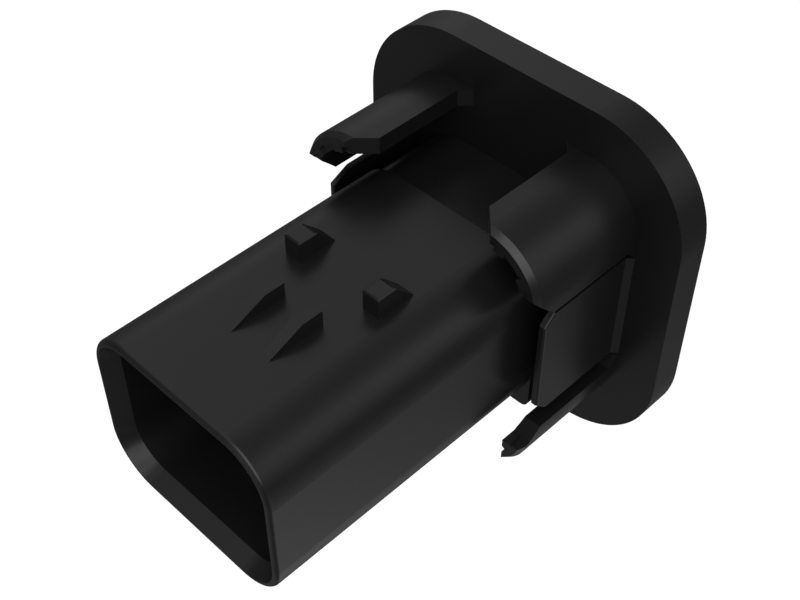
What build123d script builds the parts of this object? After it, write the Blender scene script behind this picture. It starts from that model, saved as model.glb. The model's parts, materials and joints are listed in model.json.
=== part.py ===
from build123d import *
import os
from math import cos, radians, sin

os.makedirs("parts", exist_ok=True)

# A four-way sealed pin receptacle that snaps into a panel from behind.
# Z runs out of the mouth, the latch side faces -Y, and the flange's rear face is Z = 0.
# All sizes are millimetres.

# Overall
overall_length = 37.0

# Hood: the shroud round the pins
hood_width = 18.8
hood_depth = 15.24
hood_corner = 4.13
hood_wall = 1.2
hood_length = 26.2
cavity_depth = 20.0
rim_round = 0.4
lead_in_width = 0.7
lead_in_depth = 1.35

# Flange
flange_size = 31.9
flange_thickness = 3.05
flange_corner = 8.95

# Rear body, between the hood's shoulder and the flange
body_width = hood_width
body_latch_side = 6.6
body_plain_side = 7.9
body_latch_corner = 3.3
body_plain_corner = 0.8

# Latch ramps and stop blocks on the hood's latch side
ramp_inner = 1.45
ramp_width = 1.0
ramp_height = 1.3
ramp_tip_drop = 6.3
ramp_slope_length = 3.2
ramp_crest_length = 1.8
block_inner = 3.25
block_width = 1.55
block_height = 1.8
block_drop = 14.3
block_crest_length = 1.7
block_slope_length = 1.75
block_edge_chamfer = 0.12

# Collar of corner walls that centres the part in its panel hole
collar_size = 24.06
collar_corner = 5.2
collar_wall = 1.5
collar_plain_inner_corner = 4.4
collar_height = 11.25
collar_lead_in_width = 0.33
collar_lead_in_depth = 0.52
latch_gap = 11.0
plain_gap = 19.8
negative_side_gap = (-6.1, 6.55)
positive_side_gap = (-6.4, 6.4)
end_cut = 1.85
root_flare = 0.9
recess_skin = 0.87
recess_latch_depth = 0.3
recess_plain_depth = 1.05
recess_sectors = ((5, 24), (37, 64), (78, 86))

# Thin spring walls on the two sides of the collar
spring_wall = 0.57
spring_height = 9.65
spring_root = 0.48
spring_edge_round = 0.2
spring_negative_face = 11.67
spring_negative_width = 10.4
spring_negative_cut = (0.95, 0.95)
spring_positive_face = 11.1
spring_positive_width = 10.8
spring_positive_cut = (0.8, 1.65)

# Pin contacts
column_pitch = 5.97
row_pitch = 5.3
pin_radius = 0.79
pin_recess = 6.8
pin_root_radius = 1.0
pin_root_length = 4.1
pin_root_taper = 0.15
pin_nose = 1.3
pin_shoulder_radius = 0.6
pin_shoulder_drop = 0.45
pin_tip_radius = 0.25
contact_body_radius = 1.4
contact_collar_length = 1.8
contact_neck_radius = 1.1
contact_neck_length = 1.6
barrel_bore_radius = 0.85
barrel_bore_depth = 4.2
contact_clearance = 0.15
pin_clearance = 0.2
cavity_floor_web = 1.0
barrel_gap = 1.2

# Rear wire seal and its pocket
seal_width = 15.0
seal_depth = 10.6
seal_corner = 2.5
seal_length = 6.4
seal_lip = 0.5
seal_lip_length = 0.8
seal_groove = 0.35
seal_clearance = 0.05
seal_rib_count = 3
seal_rib_length = 1.1
wire_radius = 1.0
wire_countersink = 0.35

# Wedge lock that keeps the contacts in
lock_width = 11.6
lock_depth = 9.6
lock_corner = 1.2
lock_thickness = 2.6
lock_seat_gap = 0.2
blade_width = 10.6
blade_thickness = 1.0
blade_length = 6.5
blade_clearance = 0.2
blade_end_clearance = 0.5
pull_slot_width = 2.6
pull_slot_depth = 1.4
lock_edge_chamfer = 0.3

# Heights worked out from the sizes above
mouth_z = overall_length
shoulder_z = mouth_z - hood_length
floor_z = mouth_z - cavity_depth
flange_z = flange_thickness
collar_z = flange_z + collar_height
spring_z = flange_z + spring_height
seat_z = floor_z - cavity_floor_web
seal_top_z = seal_lip_length + seal_length
tip_z = mouth_z - pin_recess
root_z = seat_z + pin_root_length
latch_face = -hood_depth / 2
collar_half = collar_size / 2
corner_centre = collar_half - collar_corner
contact_places = [
    (-column_pitch / 2, -row_pitch / 2),
    (column_pitch / 2, -row_pitch / 2),
    (-column_pitch / 2, row_pitch / 2),
    (column_pitch / 2, row_pitch / 2),
]
bite = 0.4
past = 1.0


def gap_outline(start, end):
    """Outline of one gap in the collar: flared at the root and cut back at the tip."""
    Polygon(
        (start + root_flare, flange_z),
        (start, flange_z + root_flare),
        (start, collar_z - end_cut),
        (start - end_cut, collar_z),
        (start - end_cut, collar_z + past),
        (end + end_cut, collar_z + past),
        (end + end_cut, collar_z),
        (end, collar_z - end_cut),
        (end, flange_z + root_flare),
        (end - root_flare, flange_z),
        align=None,
    )


def plain_gap_outline():
    """Outline of the wide gap on the plain side: flared at the root, with straight ends."""
    Polygon(
        (-plain_gap / 2 + root_flare, flange_z),
        (-plain_gap / 2, flange_z + root_flare),
        (-plain_gap / 2, collar_z + past),
        (plain_gap / 2, collar_z + past),
        (plain_gap / 2, flange_z + root_flare),
        (plain_gap / 2 - root_flare, flange_z),
        align=None,
    )


def sector_point(angle):
    """A point beyond the collar's corner, at an angle in degrees from the X direction."""
    return (2 * collar_corner * cos(radians(angle)), 2 * collar_corner * sin(radians(angle)))


with BuildPart() as collar:
    with BuildSketch(Plane.XY.offset(flange_z - bite)):
        RectangleRounded(collar_size, collar_size, collar_corner)
    extrude(amount=collar_height + bite - collar_lead_in_depth)
    with BuildSketch(Plane.XY.offset(collar_z - collar_lead_in_depth)):
        RectangleRounded(collar_size, collar_size, collar_corner)
    with BuildSketch(Plane.XY.offset(collar_z)):
        RectangleRounded(
            collar_size - 2 * collar_lead_in_width,
            collar_size - 2 * collar_lead_in_width,
            collar_corner - collar_lead_in_width,
        )
    loft(ruled=True)
    with BuildSketch(Plane.XY.offset(flange_z - bite)) as inside:
        Rectangle(collar_size - 2 * collar_wall, collar_size - 2 * collar_wall)
        fillet(inside.vertices().group_by(Axis.Y)[0], radius=collar_corner - collar_wall)
        fillet(inside.vertices().group_by(Axis.Y)[-1], radius=collar_plain_inner_corner)
    extrude(amount=collar_height + bite + past, mode=Mode.SUBTRACT)
    gap_depth = 2 * collar_wall
    with BuildSketch(Plane.XZ.offset(collar_half - gap_depth)):
        gap_outline(-latch_gap / 2, latch_gap / 2)
    extrude(amount=gap_depth + past, mode=Mode.SUBTRACT)
    with BuildSketch(Plane.XZ.offset(-collar_half - past)):
        plain_gap_outline()
    extrude(amount=collar_wall + collar_plain_inner_corner - bite + past, mode=Mode.SUBTRACT)
    with BuildSketch(Plane.YZ.offset(-collar_half - past)):
        gap_outline(*negative_side_gap)
    extrude(amount=gap_depth + past, mode=Mode.SUBTRACT)
    with BuildSketch(Plane.YZ.offset(collar_half - gap_depth)):
        gap_outline(*positive_side_gap)
    extrude(amount=gap_depth + past, mode=Mode.SUBTRACT)

    # Recesses between the teeth in each corner wall's front, deeper in the plain side's two walls
    for side_x, side_y, recess_depth in (
        (-1, -1, recess_latch_depth),
        (1, -1, recess_latch_depth),
        (-1, 1, recess_plain_depth),
        (1, 1, recess_plain_depth),
    ):
        corner = Plane(
            origin=(side_x * corner_centre, side_y * corner_centre, collar_z),
            x_dir=(side_x, 0, 0),
            z_dir=(0, 0, side_x * side_y),
        )
        with BuildSketch(corner):
            for start, end in recess_sectors:
                Polygon(
                    (0, 0),
                    sector_point(start),
                    sector_point(end),
                    align=None,
                )
            Circle(collar_corner - recess_skin, mode=Mode.INTERSECT)
        extrude(amount=-side_x * side_y * recess_depth, mode=Mode.SUBTRACT)

with BuildPart() as receptacle_housing:
    # Flange, rear body and hood
    with BuildSketch():
        RectangleRounded(flange_size, flange_size, flange_corner)
    extrude(amount=flange_thickness)
    with BuildSketch() as body_section:
        with Locations((0, (body_plain_side - body_latch_side) / 2)):
            Rectangle(body_width, body_plain_side + body_latch_side)
        corners = body_section.vertices().group_by(Axis.Y)
        fillet(corners[0], radius=body_latch_corner)
        corners = body_section.vertices().group_by(Axis.Y)
        fillet(corners[-1], radius=body_plain_corner)
    extrude(amount=shoulder_z)
    with BuildSketch(Plane.XY.offset(shoulder_z)):
        RectangleRounded(hood_width, hood_depth, hood_corner)
    extrude(amount=hood_length)
    fillet(receptacle_housing.faces().sort_by(Axis.Z)[-1].edges(), radius=rim_round)

    # Cavity of the hood, with the lead-in at its mouth
    inner_width = hood_width - 2 * hood_wall
    inner_depth = hood_depth - 2 * hood_wall
    inner_corner = hood_corner - hood_wall
    with BuildSketch(Plane.XY.offset(floor_z)):
        RectangleRounded(inner_width, inner_depth, inner_corner)
    extrude(amount=cavity_depth, mode=Mode.SUBTRACT)
    with BuildSketch(Plane.XY.offset(mouth_z - lead_in_depth)):
        RectangleRounded(inner_width, inner_depth, inner_corner)
    with BuildSketch(Plane.XY.offset(mouth_z)):
        RectangleRounded(
            inner_width + 2 * lead_in_width,
            inner_depth + 2 * lead_in_width,
            inner_corner + lead_in_width,
        )
    loft(ruled=True, mode=Mode.SUBTRACT)

    # Latch ramps
    crest_z = mouth_z - ramp_tip_drop - ramp_slope_length
    for start in (ramp_inner, -ramp_inner - ramp_width):
        with BuildSketch(Plane.YZ.offset(start)):
            Polygon(
                (latch_face + bite, mouth_z - ramp_tip_drop),
                (latch_face, mouth_z - ramp_tip_drop),
                (latch_face - ramp_height, crest_z),
                (latch_face - ramp_height, crest_z - ramp_crest_length),
                (latch_face + bite, crest_z - ramp_crest_length),
                align=None,
            )
        extrude(amount=ramp_width)

    # Flange, rear body, hood and collar are one moulding
    add(collar.part)

    # Contact cavities, with the narrow web that each contact's collar stops against
    with BuildSketch(Plane.XY.offset(seal_top_z)):
        with Locations(*contact_places):
            Circle(contact_body_radius + contact_clearance)
    extrude(amount=seat_z - seal_top_z, mode=Mode.SUBTRACT)
    with BuildSketch(Plane.XY.offset(seat_z)):
        with Locations(*contact_places):
            Circle(pin_root_radius + contact_clearance)
    extrude(amount=cavity_floor_web, mode=Mode.SUBTRACT)

    # Slot between the rows for the wedge lock's blade
    slot_depth = blade_length + lock_seat_gap + blade_end_clearance
    with BuildSketch(Plane.XY.offset(floor_z)):
        Rectangle(blade_width + 2 * blade_clearance, blade_thickness + 2 * blade_clearance)
    extrude(amount=-slot_depth, mode=Mode.SUBTRACT)

    # Seal pocket, with the lip that holds the seal in
    with BuildSketch():
        RectangleRounded(
            seal_width - 2 * seal_lip,
            seal_depth - 2 * seal_lip,
            seal_corner - seal_lip,
        )
    extrude(amount=seal_lip_length, mode=Mode.SUBTRACT)
    with BuildSketch(Plane.XY.offset(seal_lip_length)):
        RectangleRounded(seal_width, seal_depth, seal_corner)
    extrude(amount=seal_length, mode=Mode.SUBTRACT)

# Stop blocks behind the ramps, with broken top edges, joined to the housing
stop_z = mouth_z - block_drop
for start in (block_inner, -block_inner - block_width):
    with BuildPart() as block:
        with BuildSketch(Plane.YZ.offset(start)):
            Polygon(
                (latch_face + bite, stop_z),
                (latch_face - block_height, stop_z),
                (latch_face - block_height, stop_z - block_crest_length),
                (latch_face, stop_z - block_crest_length - block_slope_length),
                (latch_face + bite, stop_z - block_crest_length - block_slope_length),
                align=None,
            )
        extrude(amount=block_width)
        chamfer(block.faces().sort_by(Axis.Y)[0].edges(), length=block_edge_chamfer)
    with receptacle_housing:
        add(block.part)

# Spring walls with rounded outer edges at the tip and flared roots, joined to the housing
for face, width, cut, direction in (
    (spring_negative_face, spring_negative_width, spring_negative_cut, -1),
    (spring_positive_face, spring_positive_width, spring_positive_cut, 1),
):
    cut_width, cut_length = cut
    with BuildPart() as wall:
        with BuildSketch(Plane.YZ.offset(direction * (face - spring_wall / 2))):
            Polygon(
                (-width / 2, flange_z - bite),
                (-width / 2, spring_z - cut_length),
                (-width / 2 + cut_width, spring_z),
                (width / 2 - cut_width, spring_z),
                (width / 2, spring_z - cut_length),
                (width / 2, flange_z - bite),
                align=None,
            )
        extrude(amount=spring_wall / 2, both=True)
        outer_face = wall.faces().sort_by(Axis((0, 0, 0), (direction, 0, 0)))[-1]
        fillet(outer_face.edges().sort_by(Axis.Z)[-3:], radius=spring_edge_round)
        with BuildSketch(Plane.XZ):
            Polygon(
                (direction * (face - spring_wall / 2), flange_z - bite),
                (direction * (face - spring_wall / 2), flange_z + spring_root),
                (direction * face, flange_z + spring_root),
                (direction * (face + spring_root), flange_z),
                (direction * (face + spring_root), flange_z - bite),
                align=None,
            )
        extrude(amount=width / 2, both=True)
    with receptacle_housing:
        add(wall.part)

receptacle_housing.part.label = "receptacle_housing"
export_step(receptacle_housing.part, "parts/receptacle_housing.step")

with BuildPart() as rear_wire_seal:
    with BuildSketch(Plane.XY.offset(seal_lip_length)):
        RectangleRounded(
            seal_width - 2 * (seal_groove + seal_clearance),
            seal_depth - 2 * (seal_groove + seal_clearance),
            seal_corner - seal_groove - seal_clearance,
        )
    extrude(amount=seal_length)
    rib_step = (seal_length - seal_rib_length) / (seal_rib_count - 1)
    for index in range(seal_rib_count):
        with BuildSketch(Plane.XY.offset(seal_lip_length + index * rib_step)):
            RectangleRounded(
                seal_width - 2 * seal_clearance,
                seal_depth - 2 * seal_clearance,
                seal_corner - seal_clearance,
            )
        extrude(amount=seal_rib_length)
    with Locations(Plane.XY.offset(seal_lip_length)):
        with Locations(*contact_places):
            Hole(wire_radius)
    entry_edges = rear_wire_seal.faces().sort_by(Axis.Z)[0].inner_wires().edges()
    chamfer(entry_edges, length=wire_countersink)
rear_wire_seal.part.label = "rear_wire_seal"
export_step(rear_wire_seal.part, "parts/rear_wire_seal.step")

with BuildPart() as wedge_lock:
    plate_z = floor_z + lock_seat_gap
    with BuildSketch(Plane.XY.offset(plate_z)):
        RectangleRounded(lock_width, lock_depth, lock_corner)
    extrude(amount=lock_thickness)
    chamfer(wedge_lock.faces().sort_by(Axis.Z)[-1].edges(), length=lock_edge_chamfer)
    with BuildSketch(Plane.XY.offset(plate_z)):
        Rectangle(blade_width, blade_thickness)
    extrude(amount=-blade_length)
    blade_end = wedge_lock.faces().sort_by(Axis.Z)[0]
    chamfer(blade_end.edges().filter_by(Axis.X), length=blade_thickness / 3)
    with BuildSketch(Plane.XY.offset(plate_z)):
        with Locations(*contact_places):
            Circle(pin_root_radius + pin_clearance)
    extrude(amount=lock_thickness, mode=Mode.SUBTRACT)
    with BuildSketch(Plane.XY.offset(plate_z + lock_thickness)):
        Rectangle(pull_slot_width, pull_slot_depth)
    extrude(amount=-lock_thickness / 2, mode=Mode.SUBTRACT)
wedge_lock.part.label = "wedge_lock"
export_step(wedge_lock.part, "parts/wedge_lock.step")


def make_contact(label, x, y):
    """One turned pin contact: nose, pin, collar, neck and crimp barrel."""
    rear_z = seal_top_z + barrel_gap
    neck_z = seat_z - contact_collar_length
    with BuildPart() as contact:
        with BuildSketch(Plane(origin=(x, y, 0), x_dir=(1, 0, 0), z_dir=(0, -1, 0))):
            with BuildLine():
                Polyline(
                    (0, tip_z),
                    (pin_tip_radius, tip_z),
                    (pin_shoulder_radius, tip_z - pin_shoulder_drop),
                    (pin_radius, tip_z - pin_nose),
                    (pin_radius, root_z),
                    (pin_root_radius, root_z - pin_root_taper),
                    (pin_root_radius, seat_z),
                    (contact_body_radius, seat_z),
                    (contact_body_radius, neck_z),
                    (contact_neck_radius, neck_z),
                    (contact_neck_radius, neck_z - contact_neck_length),
                    (contact_body_radius, neck_z - contact_neck_length),
                    (contact_body_radius, rear_z),
                    (barrel_bore_radius, rear_z),
                    (barrel_bore_radius, rear_z + barrel_bore_depth),
                    (0, rear_z + barrel_bore_depth),
                    (0, tip_z),
                )
            make_face()
        revolve(axis=Axis((x, y, 0), (0, 0, 1)))
    contact.part.label = label
    export_step(contact.part, f"parts/{label}.step")


for number, (x, y) in enumerate(contact_places, start=1):
    make_contact(f"pin_contact_{number}", x, y)
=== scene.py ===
import json
import math

import bpy
from mathutils import Matrix, Vector

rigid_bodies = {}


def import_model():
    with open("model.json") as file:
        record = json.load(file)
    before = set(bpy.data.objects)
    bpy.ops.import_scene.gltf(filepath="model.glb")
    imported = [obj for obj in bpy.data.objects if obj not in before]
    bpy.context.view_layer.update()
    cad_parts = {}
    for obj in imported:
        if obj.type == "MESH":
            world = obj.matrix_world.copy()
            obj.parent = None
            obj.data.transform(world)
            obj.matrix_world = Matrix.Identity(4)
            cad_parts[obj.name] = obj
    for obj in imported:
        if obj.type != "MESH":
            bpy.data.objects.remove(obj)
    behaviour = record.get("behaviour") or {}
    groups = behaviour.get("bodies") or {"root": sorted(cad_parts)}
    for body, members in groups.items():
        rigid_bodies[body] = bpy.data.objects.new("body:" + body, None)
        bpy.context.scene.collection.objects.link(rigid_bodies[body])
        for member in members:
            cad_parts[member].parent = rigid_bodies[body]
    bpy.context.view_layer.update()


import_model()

# Lengths are in metres, in the part's frame: +Z out of the mouth, the latch side faces -Y
MM = 0.001
WHITE = (1.0, 1.0, 1.0, 1.0)

# The camera, fitted to the photograph: its place, and its own three axes
IMAGE_WIDTH_PX = 800
FOCAL_LENGTH_PX = 1283.885
SENSOR_WIDTH_MM = 36.0
CAMERA_CLIP = (0.001, 10.0)
CAMERA_PLACE = Vector((-49.280, -70.965, 65.239)) * MM
CAMERA_X = Vector((-0.708242, -0.000055, -0.705969))
CAMERA_Y = Vector((0.498890, -0.707578, -0.500442))
CAMERA_Z = Vector((-0.499501, -0.706635, 0.501164))

# Moulded plastic: flow marks about 8 mm across, and grain about 0.1 mm across
FLOW_SCALE = 120.0
FLOW_DETAIL = 3.0
FLOW_ROUGHNESS = 0.5
TINT_POSITIONS = (0.3, 0.7)
GLOSS_SPREAD = 0.03
GRAIN_SCALE = 9000.0
GRAIN_DETAIL = 2.0
GRAIN_ROUGHNESS = 0.6
GRAIN_HEIGHT = 0.02 * MM
BEVEL_SAMPLES = 8

# The moulded nodes: material, darker and lighter tint, roughness, grain and softened edge
MOULDED_NODES = {
    "receptacle_housing": (
        "black_plastic", (0.0059, 0.0059, 0.0062), (0.0078, 0.0078, 0.0081), 0.31, 0.2, 0.0,
    ),
    "rear_wire_seal": (
        "silicone", (0.36, 0.05, 0.02), (0.42, 0.065, 0.025), 0.55, 0.1, 0.06 * MM,
    ),
    "wedge_lock": (
        "orange_plastic", (0.72, 0.16, 0.015), (0.8, 0.2, 0.02), 0.42, 0.2, 0.06 * MM,
    ),
}

# The pins: nickel plate over fine turning marks
CONTACT_COUNT = 4
NICKEL_COLOUR = (0.66, 0.62, 0.55, 1.0)
NICKEL_ROUGHNESS = 0.28
TURNING_SCALE = 900.0
TURNING_DISTORTION = 1.5
TURNING_DETAIL = 2.0
TURNING_STRENGTH = 0.15
TURNING_HEIGHT = 0.01 * MM

# The floor: the camera sees it part glowing white and part matt, which keeps the shadow
FLOOR_SIZE = 4.0
FLOOR_DROP = 0.02 * MM
FLOOR_COLOUR = (0.8, 0.8, 0.8, 1.0)
FLOOR_WHITE_SHARE = 0.8
FLOOR_GLOW = 1.2

# The even light of the room, and what gloss shows of the room between the cards
ROOM_LIGHT = 0.55
DARK_ROOM = 0.09

# The cards that gloss shows: azimuth, elevation, inner and outer angle in degrees, strength
CARDS = (
    (-172, -30, 4, 26, 0.06),
    (-150, -30, 4, 26, 0.43),
    (-128, -30, 4, 26, 0.24),
    (-84, -30, 4, 26, 0.17),
    (-55, -45, 4, 22, 0.16),
    (-40, -30, 4, 26, 0.27),
    (-18, -30, 4, 26, 0.14),
    (-60, -2, 4, 30, 0.41),
    (-30, -2, 4, 30, 0.11),
    (-70, 28, 4, 30, 0.37),
    (78, 28, 4, 26, 0.1),
    (95, -20, 4, 20, 0.12),
    (112, -8, 4, 20, 0.4),
    (117, -17, 8, 27, 0.15),
    (148, -2, 4, 30, 0.27),
    (0, 88, 8, 40, 0.35),
)

# The square soft boxes: name, direction from the part's middle, and power in watts
SOFTBOX_SIZE = 0.3
SOFTBOX_DISTANCE = 0.45
PART_MIDDLE = Vector((0.0, 0.0, 18.0 * MM))
SOFTBOXES = (
    ("key", (-0.25, -0.9, 0.38), 0.51),
    ("side_key", (-0.72, -0.562, 0.407), 0.55),
)


def clear_scene_lights():
    """Take away any lamp or camera besides this script's own."""
    for item in list(bpy.data.objects):
        if item.type in {"LIGHT", "CAMERA"}:
            bpy.data.objects.remove(item)


def new_material(name):
    """A new material, with its node tree and its Principled shader."""
    material = bpy.data.materials.new(name)
    material.use_nodes = True
    tree = material.node_tree
    return material, tree, tree.nodes["Principled BSDF"]


def add(tree, kind, **settings):
    """A new node with its plain settings and its socket values."""
    node = tree.nodes.new(kind)
    for key, value in settings.items():
        if key in node.inputs:
            node.inputs[key].default_value = value
        else:
            setattr(node, key, value)
    return node


def moulded(name, dark, light, roughness, grain, edge):
    """Moulded plastic: fine spark-eroded grain, faint flow marks, and soft edges if edge > 0."""
    material, tree, shader = new_material(name)
    place = add(tree, "ShaderNodeTexCoord")
    flow = add(
        tree, "ShaderNodeTexNoise",
        Scale=FLOW_SCALE, Detail=FLOW_DETAIL, Roughness=FLOW_ROUGHNESS,
    )
    tint = add(tree, "ShaderNodeValToRGB")
    for stop, position, colour in zip(tint.color_ramp.elements, TINT_POSITIONS, (dark, light)):
        stop.position = position
        stop.color = (*colour, 1.0)
    gloss = add(tree, "ShaderNodeMapRange")
    gloss.inputs["To Min"].default_value = roughness - GLOSS_SPREAD
    gloss.inputs["To Max"].default_value = roughness + GLOSS_SPREAD
    fine = add(
        tree, "ShaderNodeTexNoise",
        Scale=GRAIN_SCALE, Detail=GRAIN_DETAIL, Roughness=GRAIN_ROUGHNESS,
    )
    bump = add(tree, "ShaderNodeBump", Strength=grain, Distance=GRAIN_HEIGHT)
    if edge:
        bevel = add(tree, "ShaderNodeBevel", samples=BEVEL_SAMPLES, Radius=edge)
        tree.links.new(bevel.outputs["Normal"], bump.inputs["Normal"])
    tree.links.new(place.outputs["Object"], flow.inputs["Vector"])
    tree.links.new(place.outputs["Object"], fine.inputs["Vector"])
    tree.links.new(flow.outputs["Fac"], tint.inputs["Fac"])
    tree.links.new(tint.outputs["Color"], shader.inputs["Base Color"])
    tree.links.new(flow.outputs["Fac"], gloss.inputs["Value"])
    tree.links.new(gloss.outputs["Result"], shader.inputs["Roughness"])
    tree.links.new(fine.outputs["Fac"], bump.inputs["Height"])
    tree.links.new(bump.outputs["Normal"], shader.inputs["Normal"])
    return material


def plated(name):
    """Nickel plate with fine turning marks round the pin."""
    material, tree, shader = new_material(name)
    place = add(tree, "ShaderNodeTexCoord")
    rings = add(
        tree, "ShaderNodeTexWave", bands_direction="Z",
        Scale=TURNING_SCALE, Distortion=TURNING_DISTORTION, Detail=TURNING_DETAIL,
    )
    bump = add(tree, "ShaderNodeBump", Strength=TURNING_STRENGTH, Distance=TURNING_HEIGHT)
    shader.inputs["Metallic"].default_value = 1.0
    shader.inputs["Base Color"].default_value = NICKEL_COLOUR
    shader.inputs["Roughness"].default_value = NICKEL_ROUGHNESS
    tree.links.new(place.outputs["Object"], rings.inputs["Vector"])
    tree.links.new(rings.outputs["Fac"], bump.inputs["Height"])
    tree.links.new(bump.outputs["Normal"], shader.inputs["Normal"])
    return material


def dress(name, material):
    """Give a CAD node its material."""
    item = bpy.data.objects[name]
    item.data.materials.clear()
    item.data.materials.append(material)


def floor():
    """The studio floor. Glossy rays pass it, and light that falls on it comes back matt."""
    material = bpy.data.materials.new("studio_floor")
    material.use_nodes = True
    tree = material.node_tree
    tree.nodes.clear()
    out = add(tree, "ShaderNodeOutputMaterial")
    path = add(tree, "ShaderNodeLightPath")
    matt = add(tree, "ShaderNodeBsdfDiffuse", Color=FLOOR_COLOUR)
    white = add(tree, "ShaderNodeEmission", Color=WHITE, Strength=FLOOR_GLOW)
    clear = add(tree, "ShaderNodeBsdfTransparent")
    seen = add(tree, "ShaderNodeMixShader", Fac=FLOOR_WHITE_SHARE)
    mirrored = add(tree, "ShaderNodeMixShader")
    shown = add(tree, "ShaderNodeMixShader")
    tree.links.new(matt.outputs[0], seen.inputs[1])
    tree.links.new(white.outputs[0], seen.inputs[2])
    tree.links.new(path.outputs["Is Glossy Ray"], mirrored.inputs[0])
    tree.links.new(matt.outputs[0], mirrored.inputs[1])
    tree.links.new(clear.outputs[0], mirrored.inputs[2])
    tree.links.new(path.outputs["Is Camera Ray"], shown.inputs[0])
    tree.links.new(mirrored.outputs[0], shown.inputs[1])
    tree.links.new(seen.outputs[0], shown.inputs[2])
    tree.links.new(shown.outputs[0], out.inputs["Surface"])
    bpy.ops.mesh.primitive_plane_add(size=FLOOR_SIZE, location=(0.0, 0.0, -FLOOR_DROP))
    plane = bpy.context.object
    plane.name = "studio_floor"
    plane.data.materials.append(material)


def toward(azimuth, elevation):
    """Unit vector of a direction in degrees: azimuth from +X toward +Y, and elevation."""
    a = math.radians(azimuth)
    e = math.radians(elevation)
    return (math.cos(a) * math.cos(e), math.sin(a) * math.cos(e), math.sin(e))


def card(tree, view, azimuth, elevation, inner, outer, strength):
    """One soft reflector card: full inside one angle, gone outside the other."""
    facing = add(tree, "ShaderNodeVectorMath", operation="DOT_PRODUCT")
    facing.inputs[1].default_value = toward(azimuth, elevation)
    edge = add(tree, "ShaderNodeMapRange", interpolation_type="SMOOTHSTEP")
    edge.inputs["From Min"].default_value = math.cos(math.radians(outer))
    edge.inputs["From Max"].default_value = math.cos(math.radians(inner))
    edge.inputs["To Max"].default_value = strength
    tree.links.new(view, facing.inputs[0])
    tree.links.new(facing.outputs["Value"], edge.inputs["Value"])
    return edge.outputs["Result"]


def backdrop():
    """The world: white to the camera, cards to glossy rays, and an even room to the rest."""
    world = bpy.data.worlds.new("studio")
    world.use_nodes = True
    bpy.context.scene.world = world
    tree = world.node_tree
    tree.nodes.clear()
    out = add(tree, "ShaderNodeOutputWorld")
    path = add(tree, "ShaderNodeLightPath")
    place = add(tree, "ShaderNodeTexCoord")
    view = place.outputs["Generated"]
    between = add(tree, "ShaderNodeValue")
    between.outputs[0].default_value = DARK_ROOM
    light = between.outputs[0]
    for settings in CARDS:
        joined = add(tree, "ShaderNodeMath", operation="ADD")
        tree.links.new(light, joined.inputs[0])
        tree.links.new(card(tree, view, *settings), joined.inputs[1])
        light = joined.outputs[0]
    cards = add(tree, "ShaderNodeBackground", Color=WHITE)
    tree.links.new(light, cards.inputs["Strength"])
    room = add(tree, "ShaderNodeBackground", Color=WHITE, Strength=ROOM_LIGHT)
    white = add(tree, "ShaderNodeBackground", Color=WHITE, Strength=1.0)
    glossy = add(tree, "ShaderNodeMixShader")
    seen = add(tree, "ShaderNodeMixShader")
    tree.links.new(path.outputs["Is Glossy Ray"], glossy.inputs[0])
    tree.links.new(room.outputs[0], glossy.inputs[1])
    tree.links.new(cards.outputs[0], glossy.inputs[2])
    tree.links.new(path.outputs["Is Camera Ray"], seen.inputs[0])
    tree.links.new(glossy.outputs[0], seen.inputs[1])
    tree.links.new(white.outputs[0], seen.inputs[2])
    tree.links.new(seen.outputs[0], out.inputs["Surface"])


def softbox(name, direction, power):
    """A square area lamp that faces the middle of the part."""
    lamp = bpy.data.lights.new(name, "AREA")
    lamp.size = SOFTBOX_SIZE
    lamp.energy = power
    item = bpy.data.objects.new(name, lamp)
    bpy.context.collection.objects.link(item)
    way = Vector(direction).normalized()
    item.location = PART_MIDDLE + way * SOFTBOX_DISTANCE
    item.rotation_euler = way.to_track_quat("Z", "Y").to_euler()


def camera():
    """The photograph's camera, fitted to the part's own edges."""
    lens = bpy.data.cameras.new("photo_camera")
    lens.sensor_width = SENSOR_WIDTH_MM
    lens.lens = FOCAL_LENGTH_PX * SENSOR_WIDTH_MM / IMAGE_WIDTH_PX
    lens.clip_start, lens.clip_end = CAMERA_CLIP
    item = bpy.data.objects.new("photo_camera", lens)
    bpy.context.collection.objects.link(item)
    turn = Matrix((CAMERA_X, CAMERA_Y, CAMERA_Z)).transposed()
    item.matrix_world = Matrix.Translation(CAMERA_PLACE) @ turn.to_4x4()
    bpy.context.scene.camera = item


clear_scene_lights()
bpy.context.scene.view_settings.view_transform = "Standard"

for node_name, look in MOULDED_NODES.items():
    dress(node_name, moulded(*look))
contact = plated("nickel_plate")
for number in range(1, CONTACT_COUNT + 1):
    dress(f"pin_contact_{number}", contact)

floor()
backdrop()
for settings in SOFTBOXES:
    softbox(*settings)
camera()
